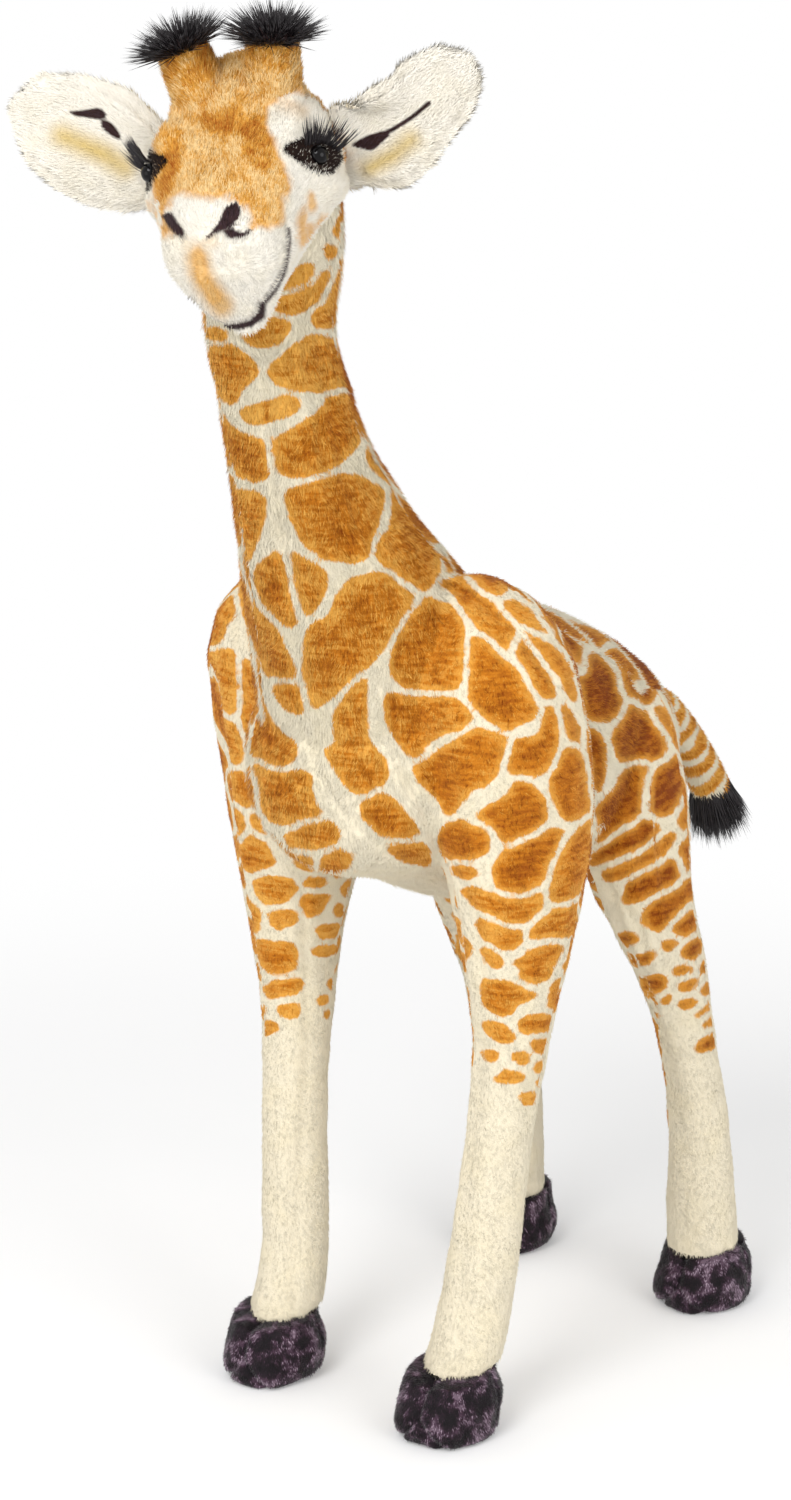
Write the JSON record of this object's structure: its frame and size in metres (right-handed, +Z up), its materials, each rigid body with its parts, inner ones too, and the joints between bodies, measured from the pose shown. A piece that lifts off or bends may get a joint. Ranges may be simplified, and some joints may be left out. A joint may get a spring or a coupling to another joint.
{
  "type": "plush giraffe",
  "caption": "Tall standing stuffed giraffe calf with a wire frame, a turned head, cupped ears that flap, short horns with hair tufts and a tail that swings.",
  "frame": {"origin": "on the floor, under the middle of the giraffe's bounding box", "axes": "+Z up from the hooves to the horns; the giraffe faces -Y and its left side is towards +X"},
  "size_m": [0.2938, 0.6916, 0.9762],
  "materials": {
    "tan_plush": "short dense plush pile, tan brown patches on cream",
    "cream_plush": "short dense plush pile, cream",
    "black_hair": "long black pile",
    "hoof_velour": "short shiny dark velour",
    "eye_bead": "black, glossy",
    "frame_steel": "drawn steel wire",
    "board_plastic": "plain moulded plastic"
  },
  "bodies": {
    "animal": {"body": "tan_plush", "neck": "tan_plush", "mane": "tan_plush", "left_front_leg": "cream_plush", "left_front_hoof": "hoof_velour", "left_front_sole_board": "board_plastic", "right_front_leg": "cream_plush", "right_front_hoof": "hoof_velour", "right_front_sole_board": "board_plastic", "left_rear_leg": "cream_plush", "left_rear_hoof": "hoof_velour", "left_rear_sole_board": "board_plastic", "right_rear_leg": "cream_plush", "right_rear_hoof": "hoof_velour", "right_rear_sole_board": "board_plastic", "spine_wire": "frame_steel", "front_leg_wire": "frame_steel", "rear_leg_wire": "frame_steel", "front_wire_clamp": "frame_steel", "rear_wire_clamp": "frame_steel"},
    "head_group": {"head": "tan_plush", "left_horn": "tan_plush", "right_horn": "tan_plush", "left_horn_tuft": "black_hair", "right_horn_tuft": "black_hair", "left_eye": "eye_bead", "right_eye": "eye_bead", "left_eye_washer": "board_plastic", "right_eye_washer": "board_plastic", "left_eye_patch": "black_hair", "right_eye_patch": "black_hair", "left_eyelashes": "black_hair", "right_eyelashes": "black_hair"},
    "left_ear_group": {"left_ear": "tan_plush", "left_ear_lining": "cream_plush"},
    "right_ear_group": {"right_ear": "tan_plush", "right_ear_lining": "cream_plush"},
    "tail_group": {"tail": "tan_plush", "tail_tuft": "black_hair"}
  },
  "joints": [
    {"name": "head_turn", "type": "hinge", "parent": "animal", "child": "head_group", "pos_m": [-0.00242, -0.22362, 0.848], "axis": [0, 0, 1], "range_deg": [-12, 12], "stiffness_Nm_per_rad": 0.6},
    {"name": "left_ear_flap", "type": "hinge", "parent": "head_group", "child": "left_ear_group", "pos_m": [0.04872, -0.21905, 0.87807], "axis": [-0.4561, -0.2925, 0.8405], "range_deg": [-18, 18], "stiffness_Nm_per_rad": 0.3},
    {"name": "right_ear_flap", "type": "hinge", "parent": "head_group", "child": "right_ear_group", "pos_m": [-0.04995, -0.26094, 0.86491], "axis": [0.3255, 0.0392, 0.9447], "range_deg": [-18, 18], "stiffness_Nm_per_rad": 0.3},
    {"name": "tail_swing", "type": "hinge", "parent": "animal", "child": "tail_group", "pos_m": [-0.00242, 0.19238, 0.446], "axis": [0, 0, 1], "range_deg": [-25, 25], "stiffness_Nm_per_rad": 0.1}
  ]
}
